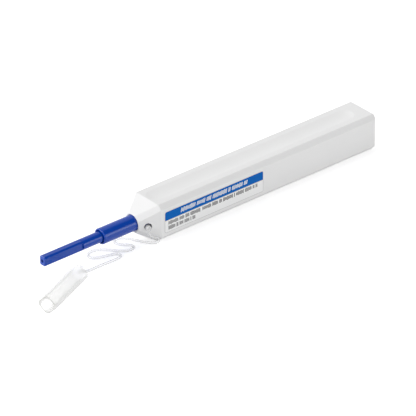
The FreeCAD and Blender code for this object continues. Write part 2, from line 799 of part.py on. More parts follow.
def tether_knot():
    """The moulded bead that holds the cord in the nose, with a short stem in the hole."""
    bead = Part.makeSphere(knot_diameter / 2, knot_centre())
    depth = knot_proud + wall / 2
    stem = Part.makeCylinder(knot_stem_diameter / 2, depth, knot_centre(), slope_normal() * -1)
    mouth = tether_hole_centre() + slope_normal() * 2
    hole = Part.makeCylinder(tether_hole_diameter / 2, depth + 2, mouth, slope_normal() * -1)
    outside = Part.makeBox(
        case_width, case_width, case_width, Vector(-case_width / 2, -case_width / 2, 0))
    outside.Placement = FreeCAD.Placement(
        tether_hole_centre(), FreeCAD.Rotation(Vector(0, 0, 1), slope_normal()))
    return bead.common(outside).fuse(stem.common(hole.fuse(outside)))


cap_axis = Vector(-math.cos(math.radians(cap_yaw)), -math.sin(math.radians(cap_yaw)), 0)
cap_height = (cap_width - cap_chamfer) / math.sqrt(2)
cap_rear = Vector(cap_rear_x, cap_rear_y, cap_height)


def clear_cap():
    """The clear cap on the tether's end, lying on a cut corner, its mouth away from the pen."""
    half = cap_width / 2
    cut = half - cap_chamfer
    corners = [
        (half, cut), (cut, half), (-cut, half), (-half, cut),
        (-half, -cut), (-cut, -half), (cut, -half), (half, -cut)]
    points = [Vector(0, y, z) for y, z in corners]
    body = Part.Face(Part.makePolygon(points + points[:1])).extrude(Vector(cap_length, 0, 0))
    body = body.cut(Part.makeCylinder(
        cap_bore / 2, cap_length, Vector(cap_end_wall, 0, 0), Vector(1, 0, 0)))
    body = body.cut(Part.makeCylinder(
        cap_mouth_bore / 2, cap_length, Vector(cap_length - cap_mouth_length, 0, 0), Vector(1, 0, 0)))
    body.rotate(Vector(0, 0, 0), Vector(1, 0, 0), 45)
    body.rotate(Vector(0, 0, 0), Vector(0, 0, 1), 180 + cap_yaw)
    body.translate(cap_rear)
    return body


def cord_route():
    """Points of the tether: down from the knot, round beside the nose, then in loose folds to the cap."""
    start = knot_centre() + slope_normal() * 0.25 - Vector(0, 0, 0.6)
    floor = cord_diameter / 2 + 0.02
    folds = [
        (-37.3, -7.55, 5.8), (-36.3, -8.1, 4.4), (-34.9, -8.45, 3.9), (-33.0, -9.05, 3.1),
        (-33.2, -8.5, 0.85), (-35.4, -6.6, floor), (-38.0, -2.6, floor), (-40.3, 2.6, floor),
        (-42.6, 5.1, floor), (-45.9, 5.1, floor), (-47.1, 2.6, floor), (-45.4, 0.0, floor),
        (-42.3, -2.9, floor), (-43.3, -5.4, floor), (-47.2, -5.2, floor), (-49.7, -2.9, floor),
        (-53.2, 1.5, floor), (-56.4, 4.0, floor), (-59.9, 4.1, floor), (-62.1, 2.3, floor),
        (-62.1, -0.1, floor), (-59.8, -1.6, floor), (-54.9, -2.9, floor), (-50.9, -4.4, floor),
        (-51.3, -7.1, floor), (-56.0, -7.4, floor), (-63.2, -7.0, floor), (-69.0, -7.3, 0.62),
        (-72.3, -8.6, 2.0)]
    route = [start] + [Vector(*fold) for fold in folds]
    return route + [cap_rear - cap_axis * 2.4, cap_rear]


def tether_cord():
    """The thin clear cord: straight runs joined by arcs that touch both runs."""
    route = cord_route()
    edges = []
    radii = []
    here = route[0]
    for before, corner, after in zip(route, route[1:], route[2:]):
        arriving = corner - before
        leaving = after - corner
        turn = arriving.getAngle(leaving)
        reach = 0.45 * min(arriving.Length, leaving.Length)
        radii.append((reach / math.tan(turn / 2), math.degrees(turn)))
        arriving.normalize()
        leaving.normalize()
        arc_start = corner - arriving * reach
        arc_end = corner + leaving * reach
        to_centre = (leaving - arriving).normalize()
        sagitta = reach * math.cos(turn / 2) * math.tan(turn / 4)
        middle = (arc_start + arc_end) * 0.5 - to_centre * sagitta
        edges.append(Part.LineSegment(here, arc_start).toShape())
        edges.append(Part.Arc(arc_start, middle, arc_end).toShape())
        here = arc_end
    edges.append(Part.LineSegment(here, route[-1]).toShape())
    path = Part.Wire(edges)
    section = Part.Wire([Part.Circle(route[0], route[1] - route[0], cord_diameter / 2).toShape()])
    tube = path.makePipeShell([section], True, False)
    expected = math.pi * (cord_diameter / 2) ** 2 * path.Length
    ratio = tube.Volume / expected
    print("cord length %.1f mm, volume over section times length %.4f" % (path.Length, ratio))
    print("cord arcs, radius mm (turn degrees):", ", ".join("%.2f (%.0f)" % pair for pair in radii))
    return tube


# ---- Write every piece -------------------------------------------------------------------------------------

outside = case_outside()
pieces = {
    "upper_shell": upper_shell(outside),
    "bottom_cover": bottom_cover(outside),
    "cover_label": cover_label(),
    "cam_pin": cam_pin(),
    "return_spring": coil_spring(
        return_diameter, return_wire, frame_rear_x, cavity_rear_x, return_turns),
    "tether_knot": tether_knot(),
    "tether_cord": tether_cord(),
    "clear_cap": clear_cap(),
    "nozzle_sleeve": nozzle_sleeve(),
    "reel_frame": reel_frame(),
    "frame_cover": frame_cover(),
    "frame_screws": frame_screws(),
    "front_bush": front_bush(),
    "takeup_axle": takeup_axle(),
    "axle_clip": axle_clip(),
    "supply_axle": supply_axle(),
    "thread_guide_pins": thread_guide_pins(),
    "thread_strands": thread_strands(),
    "click_leaf": click_leaf(),
    "ratchet_pawl": ratchet_pawl(),
    "brake_leaf": brake_leaf(),
    "nozzle_tube": nozzle_tube(),
    "nozzle_spring": nozzle_spring(),
    "spindle_drum": spindle_drum(),
    "tip_rod": tip_rod(),
    "cleaning_tip": cleaning_tip(),
    "cleaning_loop": cleaning_loop(),
    "tip_spring": tip_spring(),
    "drive_pinion": drive_pinion(),
    "takeup_reel": takeup_reel(),
    "used_thread": wound_thread(takeup_x, reel_low_y + reel_flange, used_thread_diameter),
    "supply_reel": reel(supply_x, reel_low_y),
    "fresh_thread": wound_thread(supply_x, reel_low_y, fresh_thread_diameter),
}

for name, shape in pieces.items():
    if not shape.isValid():
        raise ValueError(name + " is not a valid shape")
    shape.exportStep("parts/" + name + ".step")
    bounds = shape.optimalBoundingBox(True, False)
    print("%-18s %d solid(s), x %.2f..%.2f  y %.2f..%.2f  z %.2f..%.2f" % (
        name, len(shape.Solids), bounds.XMin, bounds.XMax, bounds.YMin, bounds.YMax,
        bounds.ZMin, bounds.ZMax))
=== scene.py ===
import math

import bmesh
import bpy
from mathutils import Matrix, Vector


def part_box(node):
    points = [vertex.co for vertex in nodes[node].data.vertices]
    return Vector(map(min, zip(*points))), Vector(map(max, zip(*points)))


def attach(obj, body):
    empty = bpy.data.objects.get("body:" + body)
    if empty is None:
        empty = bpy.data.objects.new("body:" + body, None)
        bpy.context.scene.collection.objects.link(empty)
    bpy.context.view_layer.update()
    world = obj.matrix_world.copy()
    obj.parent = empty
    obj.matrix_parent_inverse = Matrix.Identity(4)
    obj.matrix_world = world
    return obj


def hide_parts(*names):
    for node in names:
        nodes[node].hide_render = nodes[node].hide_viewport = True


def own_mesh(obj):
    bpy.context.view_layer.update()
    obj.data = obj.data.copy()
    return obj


# One-click cleaning pen for 1.25 mm fibre ferrules. It lies on its flat side with the cap pulled off
# and the cap's thin clear tether in loose folds beside the nose. Metres; X runs along the pen with
# the tip towards -X, Z is up, and the printed label is on the -Y side.

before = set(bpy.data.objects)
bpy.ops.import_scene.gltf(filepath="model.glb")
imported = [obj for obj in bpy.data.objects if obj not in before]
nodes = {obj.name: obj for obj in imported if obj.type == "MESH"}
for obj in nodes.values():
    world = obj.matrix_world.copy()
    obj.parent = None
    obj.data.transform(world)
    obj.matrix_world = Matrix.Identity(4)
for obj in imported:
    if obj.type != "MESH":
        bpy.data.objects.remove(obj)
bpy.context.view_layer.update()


# ---- Case -------------------------------------------------------------------------------------------
# Upper shell and bottom cover, injection moulded in white ABS with a fine spark-eroded grain. The
# cover snaps into the shell from below, so a hairline runs along the lower edge.

MM = 0.001


def linear(hex_colour):
    """An sRGB hex value as the linear colour that the shaders want."""
    parts = [int(hex_colour[at:at + 2], 16) / 255 for at in (1, 3, 5)]
    return [v / 12.92 if v <= 0.04045 else ((v + 0.055) / 1.055) ** 2.4 for v in parts] + [1.0]


def add_node(tree, kind, inputs=(), **settings):
    """Adds one node, sets it up, and fills its inputs from values or from other nodes' sockets."""
    node = tree.nodes.new(kind)
    for name, value in settings.items():
        setattr(node, name, value)
    for name, value in dict(inputs).items():
        if isinstance(value, bpy.types.NodeSocket):
            tree.links.new(value, node.inputs[name])
        else:
            node.inputs[name].default_value = value
    return node


def new_finish(name):
    """An empty node material and its tree."""
    finish = bpy.data.materials.new(name)
    finish.use_nodes = True
    finish.node_tree.nodes.clear()
    return finish, finish.node_tree


def close_finish(tree, shader):
    """Wires the shader to the material's surface."""
    add_node(tree, "ShaderNodeOutputMaterial", {"Surface": shader.outputs[0]})


def dress(piece, finish):
    """Gives every slot of a piece the one finish."""
    piece.data.materials.clear()
    piece.data.materials.append(finish)


def moulded_plastic(name, colour, shade, roughness, grain, depth, ior=1.54, gleam=0.5):
    """Moulded plastic: faint cloudy shade from the melt's flow, and a fine grain from the tool. A real
    grain is about 0.05 mm; it is drawn six to ten times coarser, because finer wouldn't show."""
    cloud_size = 14 * MM
    gloss_spread = 0.04
    finish, tree = new_finish(name)
    place = add_node(tree, "ShaderNodeTexCoord").outputs["Object"]
    cloud = add_node(tree, "ShaderNodeTexNoise", {"Vector": place, "Scale": 1 / cloud_size, "Detail": 3.0})
    tint = add_node(tree, "ShaderNodeMix", {
        "Factor": cloud.outputs["Fac"], 6: linear(colour), 7: linear(shade)}, data_type="RGBA")
    pits = add_node(tree, "ShaderNodeTexNoise", {"Vector": place, "Scale": 1 / grain, "Detail": 2.0})
    bump = add_node(tree, "ShaderNodeBump", {
        "Height": pits.outputs["Fac"], "Distance": depth, "Strength": 0.6})
    gloss = add_node(tree, "ShaderNodeMapRange", {
        "Value": pits.outputs["Fac"], "To Min": roughness - gloss_spread,
        "To Max": roughness + gloss_spread})
    skin = add_node(tree, "ShaderNodeBsdfPrincipled", {
        "Base Color": tint.outputs[2], "Roughness": gloss.outputs[0], "Normal": bump.outputs[0],
        "IOR": ior, "Specular IOR Level": gleam})
    close_finish(tree, skin)
    return finish


# White ABS from a spark-eroded tool: an even white with a satin sheen and no sharp reflections.
white_abs = moulded_plastic(
    "white_abs_moulded", "#ECECEC", "#E8E8E8", roughness=0.45, grain=0.35 * MM, depth=0.006 * MM)
for name in ("upper_shell", "bottom_cover"):
    dress(nodes[name], white_abs)


# ---- Label ------------------------------------------------------------------------------------------
# A thin polyester sticker with round corners, pressed onto the side by hand: a blue band with a cream
# rim along the top, and a white panel with a fine grey rule. Plain upright bars take the place of the
# printed words.

label_low, label_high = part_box("cover_label")
label_middle = (label_low + label_high) / 2
label_size = label_high - label_low
label_corner = 0.9 * MM
band_low = label_low.z + 0.575 * label_size.z
band_rim = 0.14 * MM
band_corner = 0.8 * MM
band_run_on = 1.0 * MM


def edge_distance(tree, place, middle_x, middle_z, half_x, half_z, corner):
    """Distance outside a rounded rectangle on the label's face, below 0 inside it, in metres."""
    sides = []
    for axis, middle, half in (("X", middle_x, half_x), ("Z", middle_z, half_z)):
        shift = add_node(tree, "ShaderNodeMath", {0: place.outputs[axis], 1: middle}, operation="SUBTRACT")
        away = add_node(tree, "ShaderNodeMath", {0: shift.outputs[0]}, operation="ABSOLUTE")
        sides.append(add_node(tree, "ShaderNodeMath", {
            0: away.outputs[0], 1: half - corner}, operation="SUBTRACT"))
    outer = [add_node(tree, "ShaderNodeMath", {0: side.outputs[0], 1: 0.0}, operation="MAXIMUM")
             for side in sides]
    reach = add_node(tree, "ShaderNodeCombineXYZ", {0: outer[0].outputs[0], 1: outer[1].outputs[0]})
    length = add_node(tree, "ShaderNodeVectorMath", {0: reach.outputs[0]}, operation="LENGTH")
    deepest = add_node(tree, "ShaderNodeMath", {
        0: sides[0].outputs[0], 1: sides[1].outputs[0]}, operation="MAXIMUM")
    inner = add_node(tree, "ShaderNodeMath", {0: deepest.outputs[0], 1: 0.0}, operation="MINIMUM")
    both = add_node(tree, "ShaderNodeMath", {0: length.outputs["Value"], 1: inner.outputs[0]})
    return add_node(tree, "ShaderNodeMath", {0: both.outputs[0], 1: corner}, operation="SUBTRACT")


def label_print():
    """Satin polyester film, printed: flat colours with crisp edges, and a soft, slightly uneven gloss.
    The band's lower corners are square, so its rounded outline runs on below its foot."""
    peel_size = 1.2 * MM
    finish, tree = new_finish("polyester_label_printed")
    coords = add_node(tree, "ShaderNodeTexCoord").outputs["Object"]
    place = add_node(tree, "ShaderNodeSeparateXYZ", {0: coords})
    half_x = label_size.x / 2
    whole = edge_distance(
        tree, place, label_middle.x, label_middle.z, half_x, label_size.z / 2, label_corner)
    band_half = (label_high.z - band_low + band_run_on) / 2
    band = edge_distance(
        tree, place, label_middle.x, label_high.z - band_rim - band_half, half_x - band_rim, band_half,
        band_corner)
    over_foot = add_node(tree, "ShaderNodeMath", {
        0: place.outputs["Z"], 1: band_low}, operation="GREATER_THAN")
    over_panel = add_node(tree, "ShaderNodeMath", {
        0: place.outputs["Z"], 1: band_low - 2 * band_rim}, operation="GREATER_THAN")
    in_band = add_node(tree, "ShaderNodeMath", {0: band.outputs[0], 1: 0.0}, operation="LESS_THAN")
    blue = add_node(tree, "ShaderNodeMath", {
        0: in_band.outputs[0], 1: over_foot.outputs[0]}, operation="MULTIPLY")
    rule = add_node(tree, "ShaderNodeMath", {
        0: whole.outputs[0], 1: -band_rim}, operation="GREATER_THAN")
    panel = add_node(tree, "ShaderNodeMix", {
        "Factor": rule.outputs[0], 6: linear("#F5F5F5"), 7: linear("#BEBEBE")}, data_type="RGBA")
    head = add_node(tree, "ShaderNodeMix", {
        "Factor": blue.outputs[0], 6: linear("#E6DCCB"), 7: linear("#0062B8")}, data_type="RGBA")
    tone = add_node(tree, "ShaderNodeMix", {
        "Factor": over_panel.outputs[0], 6: panel.outputs[2], 7: head.outputs[2]}, data_type="RGBA")
    peel = add_node(tree, "ShaderNodeTexNoise", {"Vector": coords, "Scale": 1 / peel_size, "Detail": 1.0})
    gloss = add_node(tree, "ShaderNodeMapRange", {
        "Value": peel.outputs["Fac"], "To Min": 0.32, "To Max": 0.4})
    skin = add_node(tree, "ShaderNodeBsdfPrincipled", {
        "Base Color": tone.outputs[2], "Roughness": gloss.outputs[0], "IOR": 1.6,
        "Specular IOR Level": 0.05})
    close_finish(tree, skin)
    return finish


dress(nodes["cover_label"], label_print())


def ink(name, colour):
    """Screen-printed ink: matt, and a little uneven where the mesh laid it down."""
    mesh_size = 0.3 * MM
    finish, tree = new_finish(name)
    coords = add_node(tree, "ShaderNodeTexCoord").outputs["Object"]
    cover = add_node(tree, "ShaderNodeTexNoise", {"Vector": coords, "Scale": 1 / mesh_size, "Detail": 1.0})
    rough = add_node(tree, "ShaderNodeMapRange", {
        "Value": cover.outputs["Fac"], "To Min": 0.5, "To Max": 0.6})
    skin = add_node(tree, "ShaderNodeBsdfPrincipled", {
        "Base Color": linear(colour), "Roughness": rough.outputs[0], "IOR": 1.5,
        "Specular IOR Level": 0.2})
    close_finish(tree, skin)
    return finish


def bar_line_tree():
    """Geometry Nodes tree: a line of thin upright bars of uneven height on the label. A bar is left
    out at the start of each short group and of each long group."""
    tree = bpy.data.node_groups.new("printed_bars", "GeometryNodeTree")
    for name in ("Start X", "Line Z", "Face Y", "Pitch", "Bar Height", "Bar Width", "Proud", "Lean"):
        tree.interface.new_socket(name, in_out="INPUT", socket_type="NodeSocketFloat")
    for name in ("Count", "Short Group", "Long Group", "Seed"):
        tree.interface.new_socket(name, in_out="INPUT", socket_type="NodeSocketInt")
    tree.interface.new_socket("Ink", in_out="INPUT", socket_type="NodeSocketMaterial")
    tree.interface.new_socket("Bars", in_out="OUTPUT", socket_type="NodeSocketGeometry")
    given = add_node(tree, "NodeGroupInput").outputs
    start = add_node(tree, "ShaderNodeCombineXYZ", {
        0: given["Start X"], 1: given["Face Y"], 2: given["Line Z"]})
    step = add_node(tree, "ShaderNodeCombineXYZ", {0: given["Pitch"]})
    line = add_node(tree, "GeometryNodeMeshLine", {
        "Count": given["Count"], "Start Location": start.outputs[0], "Offset": step.outputs[0]})
    number = add_node(tree, "GeometryNodeInputIndex").outputs[0]
    in_short = add_node(tree, "FunctionNodeIntegerMath", {
        0: number, 1: given["Short Group"]}, operation="MODULO")
    in_long = add_node(tree, "FunctionNodeIntegerMath", {
        0: number, 1: given["Long Group"]}, operation="MODULO")
    in_both = add_node(tree, "FunctionNodeIntegerMath", {
        0: in_short.outputs[0], 1: in_long.outputs[0]}, operation="MULTIPLY")
    missing = add_node(tree, "ShaderNodeMath", {0: in_both.outputs[0], 1: 0.5}, operation="LESS_THAN")
    kept = add_node(tree, "GeometryNodeDeleteGeometry", {
        "Geometry": line.outputs[0], "Selection": missing.outputs[0]})
    height = add_node(tree, "FunctionNodeRandomValue", {2: 0.66, 3: 1.0, "Seed": given["Seed"]})
    tall = add_node(tree, "ShaderNodeMath", {
        0: height.outputs[1], 1: given["Bar Height"]}, operation="MULTIPLY")
    size = add_node(tree, "ShaderNodeCombineXYZ", {
        0: given["Bar Width"], 1: given["Proud"], 2: tall.outputs[0]})
    turn = add_node(tree, "ShaderNodeCombineXYZ", {1: given["Lean"]})
    bar = add_node(tree, "GeometryNodeMeshCube", {"Size": (1.0, 1.0, 1.0)})
    bars = add_node(tree, "GeometryNodeInstanceOnPoints", {
        "Points": kept.outputs[0], "Instance": bar.outputs[0], "Rotation": turn.outputs[0],
        "Scale": size.outputs[0]})
    real = add_node(tree, "GeometryNodeRealizeInstances", {"Geometry": bars.outputs[0]})
    inked = add_node(tree, "GeometryNodeSetMaterial", {
        "Geometry": real.outputs[0], "Material": given["Ink"]})
    add_node(tree, "NodeGroupOutput", {"Bars": inked.outputs[0]})
    return tree


def bar_line(name, finish, span, line_z, pitch, height, width, lean, groups, seed):
    """One line of bars over a span, two shares of the label's length, made a plain mesh. Lengths are
    in millimetres and the lean is in degrees."""
    start = label_low.x + span[0] * label_size.x
    proud = 0.03 * MM
    count = int((span[1] - span[0]) * label_size.x / (pitch * MM)) + 1
    values = {
        "Start X": start, "Line Z": line_z * MM, "Face Y": label_low.y, "Pitch": pitch * MM,
        "Bar Height": height * MM, "Bar Width": width * MM, "Proud": proud,
        "Lean": math.radians(lean), "Count": count, "Short Group": groups[0], "Long Group": groups[1],
        "Seed": seed, "Ink": finish}
    carrier = bpy.data.objects.new(name + "_line", bpy.data.meshes.new(name + "_line"))
    bpy.context.scene.collection.objects.link(carrier)
    layer = carrier.modifiers.new("bars", "NODES")
    layer.node_group = bars_tree
    for socket in bars_tree.interface.items_tree:
        if socket.in_out == "INPUT":
            layer[socket.identifier] = values[socket.name]
    bpy.context.view_layer.update()
    made = carrier.evaluated_get(bpy.context.evaluated_depsgraph_get())
    piece = bpy.data.objects.new(name, bpy.data.meshes.new_from_object(made))
    bpy.data.objects.remove(carrier)
    bpy.context.scene.collection.objects.link(piece)
    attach(piece, "case")


# The bars are matt, so they keep their colour where the film shines.
bars_tree = bar_line_tree()
white_ink = ink("ink_white", "#EDEDEA")
dark_ink = ink("ink_dark_grey", "#1C1C1E")
bar_line("band_bars", white_ink, span=(0.155, 0.84), line_z=12.05, pitch=0.66, height=2.3, width=0.42,
         lean=12, groups=(13, 21), seed=4)
bar_line("panel_bars_upper", dark_ink, span=(0.03, 0.94), line_z=8.4, pitch=0.54, height=1.9, width=0.32,
         lean=0, groups=(11, 17), seed=9)
bar_line("panel_bars_lower", dark_ink, span=(0.03, 0.31), line_z=6.1, pitch=0.54, height=1.9, width=0.32,
         lean=0, groups=(11, 8), seed=3)


# ---- Sleeve and nozzle ------------------------------------------------------------------------------
# Blue ABS, moulded in polished tools: the sleeve slides in the nose, the thin nozzle slides in the
# sleeve, and its flats line it up with the adapter's port.

# Blue ABS from polished tools: a deep even blue with hardly any grain, which shows its surroundings as
# long soft streaks.
blue_abs = moulded_plastic(
    "blue_abs_polished", "#0242AB", "#023DA1", roughness=0.2, grain=0.5 * MM, depth=0.002 * MM, gleam=0.33)
for name in ("nozzle_sleeve", "nozzle_tube"):
    dress(nodes[name], blue_abs)


# ---- Works inside the case --------------------------------------------------------------------------
# Reel frame and its cover in glass-filled nylon, reels, spindle and pinion in natural acetal, a
# dark bearing bush, and ground steel axles and pins.

# Glass-filled nylon, moulded: a dull grey white with a dry, slightly rough skin from its fibres.
nylon = moulded_plastic(
    "nylon_glass_filled", "#CFCFCA", "#C6C6C0", roughness=0.55, grain=0.3 * MM, depth=0.01 * MM, ior=1.53)
# Acetal in its natural colour, moulded: milky and waxy, smoother than the nylon.
acetal = moulded_plastic(
    "acetal_natural", "#EDEDE8", "#E6E6E0", roughness=0.35, grain=0.4 * MM, depth=0.003 * MM, ior=1.48)
# Black nylon, moulded: dark and half matt.
bush_nylon = moulded_plastic(
    "nylon_black", "#26262A", "#202024", roughness=0.4, grain=0.3 * MM, depth=0.004 * MM, ior=1.53)
for name in ("reel_frame", "frame_cover"):
    dress(nodes[name], nylon)
for name in ("spindle_drum", "cleaning_tip", "drive_pinion", "takeup_reel", "supply_reel"):
    dress(nodes[name], acetal)
dress(nodes["front_bush"], bush_nylon)


def drawn_metal(name, colour, roughness, streak):
    """Ground or drawn steel: fine streaks along the pen, 20 times as long as they are wide."""
    streak_length = 20 * streak
    gloss_spread = 0.06
    finish, tree = new_finish(name)
    place = add_node(tree, "ShaderNodeTexCoord").outputs["Object"]
    stretched = add_node(tree, "ShaderNodeMapping", {
        "Vector": place, "Scale": (1 / streak_length, 1 / streak, 1 / streak)})
    streaks = add_node(tree, "ShaderNodeTexNoise", {
        "Vector": stretched.outputs[0], "Scale": 1.0, "Detail": 2.0})
    gloss = add_node(tree, "ShaderNodeMapRange", {
        "Value": streaks.outputs["Fac"], "To Min": roughness - gloss_spread,
        "To Max": roughness + gloss_spread})
    metal = add_node(tree, "ShaderNodeBsdfPrincipled", {
        "Base Color": linear(colour), "Metallic": 1.0, "Roughness": gloss.outputs[0]})
    close_finish(tree, metal)
    return finish


# Ground stainless steel: pale grey, with a bright line along each pin. Drawn spring steel: darker and
# softer. Zinc-plated steel: lighter and brighter.
ground_steel = drawn_metal("stainless_steel_ground", "#B4B5B8", roughness=0.28, streak=0.15 * MM)
spring_wire = drawn_metal("spring_steel_drawn", "#9A9B9E", roughness=0.34, streak=0.1 * MM)
screw_plate = drawn_metal("steel_zinc_plated", "#C6C9CC", roughness=0.22, streak=0.2 * MM)
for name in ("takeup_axle", "supply_axle", "thread_guide_pins", "cam_pin", "tip_rod"):
    dress(nodes[name], ground_steel)
for name in ("axle_clip", "click_leaf", "ratchet_pawl", "brake_leaf"):
    dress(nodes[name], spring_wire)
dress(nodes["frame_screws"], screw_plate)


# ---- Coil springs -----------------------------------------------------------------------------------
# Three springs wound from drawn steel wire along the pen: behind the reel frame, behind the nozzle's
# collar and behind the cleaning tip. Each one shortens between its two seats as its joint moves.

def coil_spring(name, body):
    """A coil that takes the solid spring's place: a copy of its wire, welded where its pieces meet, on the
    given body."""
    weld_gap = 0.0005 * MM
    wire = nodes[name].data.copy()
    joined = bmesh.new()
    joined.from_mesh(wire)
    bmesh.ops.remove_doubles(joined, verts=joined.verts, dist=weld_gap)
    joined.to_mesh(wire)
    joined.free()
    piece = bpy.data.objects.new(name + "_coil", wire)
    bpy.context.scene.collection.objects.link(piece)
    dress(piece, spring_wire)
    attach(piece, body)
    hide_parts(name)
    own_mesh(piece)


coil_spring("return_spring", "case")
coil_spring("nozzle_spring", "nozzle")
coil_spring("tip_spring", "cleaning_head")


# ---- Cleaning thread --------------------------------------------------------------------------------
# A fine woven polyester thread, fresh on the supply reel and greyer once it has been used. Its
# turns lie side by side, about 0.3 mm apart.

def wound_fibre(name, colour, shade):
    """Turns of thread lying side by side across the reel, with painted shade in the gaps between them. A
    Wave Texture of scale s has its bands 2 pi / 20 s apart."""
    thread_pitch = 0.3 * MM
    finish, tree = new_finish(name)
    place = add_node(tree, "ShaderNodeTexCoord").outputs["Object"]
    turns = add_node(tree, "ShaderNodeTexWave", {
        "Vector": place, "Scale": 2 * math.pi / (20 * thread_pitch), "Distortion": 1.5},
        bands_direction="Y")
    # The shade colour is painted shade in the grooves between the turns.
    tint = add_node(tree, "ShaderNodeMix", {
        "Factor": turns.outputs["Fac"], 6: linear(shade), 7: linear(colour)}, data_type="RGBA")
    bump = add_node(tree, "ShaderNodeBump", {"Height": turns.outputs["Fac"], "Distance": 0.05 * MM})
    skin = add_node(tree, "ShaderNodeBsdfPrincipled", {
        "Base Color": tint.outputs[2], "Roughness": 0.8, "Normal": bump.outputs[0],
        "Sheen Weight": 0.3})
    close_finish(tree, skin)
    return finish


# Woven polyester thread: dull and soft, white with painted shade in the gaps between its turns, and greyer
# when used.
fresh_fibre = wound_fibre("polyester_thread_fresh", "#F2F2EE", "#D8D8D2")
used_fibre = wound_fibre("polyester_thread_used", "#D5D5CF", "#B4B4AC")
for name in ("fresh_thread", "thread_strands", "cleaning_loop"):
    dress(nodes[name], fresh_fibre)
dress(nodes["used_thread"], used_fibre)


# ---- Clear cap --------------------------------------------------------------------------------------
# Moulded in clear styrene, square with cut corners outside and round inside, with a step where the
# wide mouth ends. It has been pulled off and lies on one of its cut corners.

def clear_plastic(name, colour, edge_shade_colour, roughness, body, rim_body, rim_range, bore=None):
    """Clear moulded plastic: seen through square on, and more solid where the wall turns away. There, and on
    the lip round a bore's open end, it carries painted grey shade, standing in for the darker light that a
    clear wall bends at its edges. A bore is given as its middle, axis, radius, the share of its solidity
    that its wall keeps, and its lip's distance."""
    flow_size = 2.5 * MM
    gloss_spread = 0.4 * roughness
    finish, tree = new_finish(name)
    place = add_node(tree, "ShaderNodeTexCoord").outputs["Object"]
    flow = add_node(tree, "ShaderNodeTexNoise", {"Vector": place, "Scale": 1 / flow_size, "Detail": 2.0})
    gloss = add_node(tree, "ShaderNodeMapRange", {
        "Value": flow.outputs["Fac"], "To Min": roughness - gloss_spread,
        "To Max": roughness + gloss_spread})
    turned = add_node(tree, "ShaderNodeLayerWeight", {"Blend": 0.5}).outputs["Facing"]
    rim = add_node(tree, "ShaderNodeMapRange", {
        "Value": turned, "From Min": rim_range[0], "From Max": rim_range[1]},
        interpolation_type="SMOOTHSTEP")
    kept = 1.0
    if bore:
        middle, axis, radius, share, lip_at = bore
        arm = add_node(tree, "ShaderNodeVectorMath", {0: place, 1: middle}, operation="SUBTRACT")
        along = add_node(tree, "ShaderNodeVectorMath", {
            0: arm.outputs[0], 1: axis}, operation="DOT_PRODUCT")
        lip = add_node(tree, "ShaderNodeMath", {
            0: along.outputs["Value"], 1: lip_at}, operation="GREATER_THAN")
        rim = add_node(tree, "ShaderNodeMath", {
            0: rim.outputs[0], 1: lip.outputs[0]}, operation="MAXIMUM")
        across = add_node(tree, "ShaderNodeVectorMath", {
            0: arm.outputs[0], 1: axis}, operation="CROSS_PRODUCT")
        distance = add_node(tree, "ShaderNodeVectorMath", {0: across.outputs[0]}, operation="LENGTH")
        outside = add_node(tree, "ShaderNodeMath", {
            0: distance.outputs["Value"], 1: radius}, operation="GREATER_THAN")
        kept = add_node(tree, "ShaderNodeMapRange", {
            "Value": outside.outputs[0], "To Min": share}).outputs[0]
    solid = add_node(tree, "ShaderNodeMapRange", {
        "Value": rim.outputs[0], "To Min": body, "To Max": rim_body})
    cover = add_node(tree, "ShaderNodeMath", {0: solid.outputs[0], 1: kept}, operation="MULTIPLY")
    # Painted grey shade on the turned-away edges and on the lip, in place of the darkening that refraction
    # gives there.
    tint = add_node(tree, "ShaderNodeMix", {
        "Factor": rim.outputs[0], 6: linear(colour), 7: linear(edge_shade_colour)}, data_type="RGBA")
    skin = add_node(tree, "ShaderNodeBsdfPrincipled", {
        "Base Color": tint.outputs[2], "Roughness": gloss.outputs[0], "IOR": 1.5,
        "Alpha": cover.outputs[0], "Specular IOR Level": 0.3})
    close_finish(tree, skin)
    return finish


cap_low, cap_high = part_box("clear_cap")
cap_turn = math.radians(23.3)
cap_axis = Vector((-math.cos(cap_turn), -math.sin(cap_turn), 0))
cap_bore_radius = 2.9 * MM
cap_bore_share = 0.3
cap_lip_at = 13.85 * MM
# Clear styrene from a polished tool: almost lost against a white ground, with faint gloss, and painted grey
# shade along its edges and on its lip. It is thinly covered and doesn't refract, which would darken so thin
# a wall; the painted shade stands in for the darkening at its edges. The bore's radius takes in the mouth's
# wall, and the lip starts just behind the mouth's face.
dress(nodes["clear_cap"], clear_plastic(
    "styrene_clear", "#F8F8F6", "#D4D4D2", roughness=0.2, body=0.28, rim_body=0.7, rim_range=(0.45, 0.68),
    bore=((cap_low + cap_high) / 2, cap_axis, cap_bore_radius, cap_bore_share, cap_lip_at)))


# ---- Tether -----------------------------------------------------------------------------------------
# A thin soft clear vinyl cord. A moulded knot holds it in the hole beside the nose; it drops down,
# turns under the nose and lies in loose folds, and its other end goes into the back of the cap.

